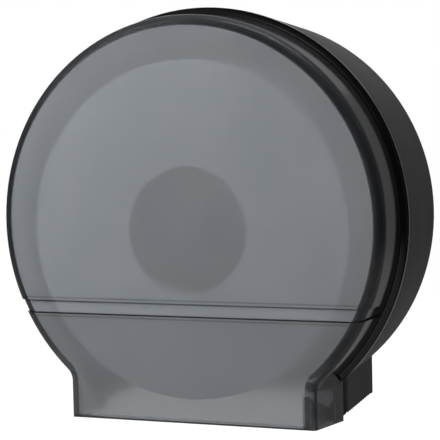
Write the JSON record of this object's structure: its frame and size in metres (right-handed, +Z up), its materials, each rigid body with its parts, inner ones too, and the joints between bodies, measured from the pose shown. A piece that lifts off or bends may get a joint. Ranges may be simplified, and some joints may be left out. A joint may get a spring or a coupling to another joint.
{
  "type": "jumbo toilet roll dispenser",
  "caption": "Wall-hung jumbo bath tissue dispenser: translucent round cover that drops forward, open foot with tear teeth, key lock, large roll on a turning hub.",
  "frame": {"origin": "on the wall plane, at the centre of the mounting hole pattern and of the round body", "axes": "+Y into the wall, -Y toward the user, +Z up, +X to the user's right"},
  "size_m": [0.288, 0.12, 0.279],
  "materials": {
    "smoke_cover": "translucent smoke grey, fine frosted texture on the face, polished rim",
    "housing_black": "black moulded plastic with a fine matte texture",
    "hub_black": "black moulded plastic",
    "bearing_plastic": "natural low-friction plastic",
    "steel": "zinc plated steel",
    "lock_chrome": "nickel plated",
    "core_board": "spiral wound board",
    "tissue": "soft white tissue"
  },
  "bodies": {
    "housing": {"rear_housing": "housing_black", "hinge_pin_left": "steel", "hinge_pin_right": "steel", "spindle_plate": "steel", "plate_screws": "steel", "axle": "steel", "thrust_washer": "bearing_plastic", "hub_retainer": "hub_black", "lock_barrel": "lock_chrome", "lock_washer": "steel", "lock_nut": "steel"},
    "cover": {"front_cover": "smoke_cover"},
    "hub": {"hub_bushing": "bearing_plastic", "roll_hub": "hub_black", "hub_flange": "hub_black", "drag_washer": "steel"},
    "roll": {"paper_roll": "tissue", "roll_core": "core_board"},
    "lock": {"lock_plug": "lock_chrome", "lock_cam": "steel", "cam_screw": "steel"}
  },
  "joints": [
    {"name": "cover_hinge", "type": "hinge", "parent": "housing", "child": "cover", "pos_m": [0, -0.084, -0.13], "axis": [1, 0, 0], "range_deg": [0, 100]},
    {"name": "roll_spin", "type": "hinge", "parent": "housing", "child": "roll", "pos_m": [0, -0.07, -0.0048], "axis": [0, 1, 0], "continuous": true},
    {"name": "hub_spin", "type": "hinge", "parent": "housing", "child": "hub", "pos_m": [0, -0.07, 0], "axis": [0, 1, 0], "continuous": true},
    {"name": "lock_turn", "type": "hinge", "parent": "housing", "child": "lock", "pos_m": [0, -0.05, 0.135], "axis": [0, 0, -1], "range_deg": [0, 90]}
  ],
  "couplings": [
    {"joint": "hub_spin", "follows": "roll_spin", "ratio": 1.1304}
  ]
}
